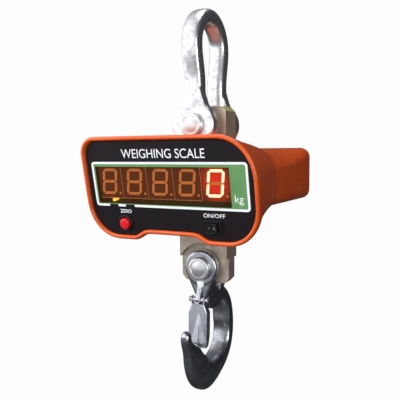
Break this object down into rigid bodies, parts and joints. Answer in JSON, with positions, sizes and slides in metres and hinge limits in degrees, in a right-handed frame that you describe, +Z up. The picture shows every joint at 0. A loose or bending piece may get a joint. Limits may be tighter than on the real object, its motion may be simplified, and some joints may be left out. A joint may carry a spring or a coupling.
{
  "type": "crane scale",
  "caption": "Hanging crane scale: load cell between a shackle and a latched clevis hook, in a cast housing with a large digit display.",
  "frame": {"origin": "the point under the crown of the shackle bow where the crane's hook bears", "axes": "+Z up along the load line, -Y towards the display side, +X to the right of a person reading the display"},
  "size_m": [0.215, 0.2366, 0.4669],
  "materials": {
    "orange_powder_coat": "glossy powder coat",
    "black_plate": "satin",
    "overlay_film": "satin polycarbonate film",
    "smoked_window": "smoked acrylic",
    "digit_body": "moulded",
    "segment_resin": "unlit diffusing resin",
    "segment_lit": "lit diffusing resin",
    "lamp_resin": "clear moulded",
    "black_plastic": "moulded",
    "red_button": "moulded",
    "seal_rubber": "moulded",
    "circuit_board": "solder mask",
    "battery_case": "moulded",
    "zinc_hardware": "bright zinc plate",
    "nickel_plate": "satin nickel plate",
    "bush_bronze": "turned",
    "shackle_zinc": "bright zinc on a forging",
    "hook_zinc": "zinc on a forging",
    "latch_zinc": "blue zinc on sheet steel"
  },
  "bodies": {
    "scale_body": {"housing": "orange_powder_coat", "front_plate": "black_plate", "front_overlay": "overlay_film", "plate_screws": "zinc_hardware", "display_window": "smoked_window", "window_seal": "seal_rubber", "display_board": "circuit_board", "digit_1": "digit_body", "digit_2": "digit_body", "digit_3": "digit_body", "digit_4": "digit_body", "digit_5": "digit_body", "segments_1": "segment_resin", "segments_2": "segment_resin", "segments_3": "segment_resin", "segments_4": "segment_resin", "segments_5": "segment_lit", "status_lamps": "lamp_resin", "zero_switch": "black_plastic", "zero_spring": "zinc_hardware", "rocker_frame": "black_plastic", "board_spacers": "zinc_hardware", "board_screws": "zinc_hardware", "main_board": "circuit_board", "battery": "battery_case", "battery_strap": "zinc_hardware", "load_cell": "nickel_plate", "gauge_covers": "zinc_hardware", "upper_bush": "bush_bronze", "lower_bush": "bush_bronze", "upper_seal": "seal_rubber", "lower_seal": "seal_rubber", "clamp_brackets": "zinc_hardware", "clamp_bolts": "zinc_hardware", "rear_cover": "orange_powder_coat", "rear_seal": "seal_rubber", "cover_screws": "zinc_hardware", "charge_socket": "zinc_hardware"},
    "shackle": {"shackle_bow": "shackle_zinc", "shackle_pin": "shackle_zinc", "pin_spacers": "zinc_hardware", "shackle_cotter": "zinc_hardware"},
    "hook": {"hook_forging": "hook_zinc", "hook_pin": "hook_zinc", "hook_cotter": "zinc_hardware", "latch_pin": "zinc_hardware", "latch_spring": "zinc_hardware"},
    "latch": {"latch_plate": "latch_zinc"},
    "zero_button": {"zero_cap": "red_button"},
    "power_rocker": {"rocker_cap": "black_plastic"}
  },
  "joints": [
    {"name": "shackle_swing", "type": "hinge", "parent": "scale_body", "child": "shackle", "pos_m": [0, 0, -0.12], "axis": [0, 1, 0], "range_deg": [-85, 85]},
    {"name": "hook_swing", "type": "hinge", "parent": "scale_body", "child": "hook", "pos_m": [0, 0, -0.293], "axis": [0, 1, 0], "range_deg": [-18, 18]},
    {"name": "latch_pivot", "type": "hinge", "parent": "hook", "child": "latch", "pos_m": [0, -0.027, -0.3305], "axis": [1, 0, 0], "range_deg": [0, 42], "stiffness_Nm_per_rad": 0.05, "springref_deg": -34.38, "deforming": ["latch_spring"]},
    {"name": "zero_press", "type": "slide", "parent": "scale_body", "child": "zero_button", "axis": [0, 0.9826, 0.1857], "range_m": [0, 0.002], "stiffness_N_per_m": 800, "springref_m": -0.001, "deforming": ["zero_spring"]},
    {"name": "power_switch", "type": "hinge", "parent": "scale_body", "child": "power_rocker", "pos_m": [0.052, -0.0903, -0.23084], "axis": [0, -0.1857, 0.9826], "range_deg": [0, 16]}
  ]
}
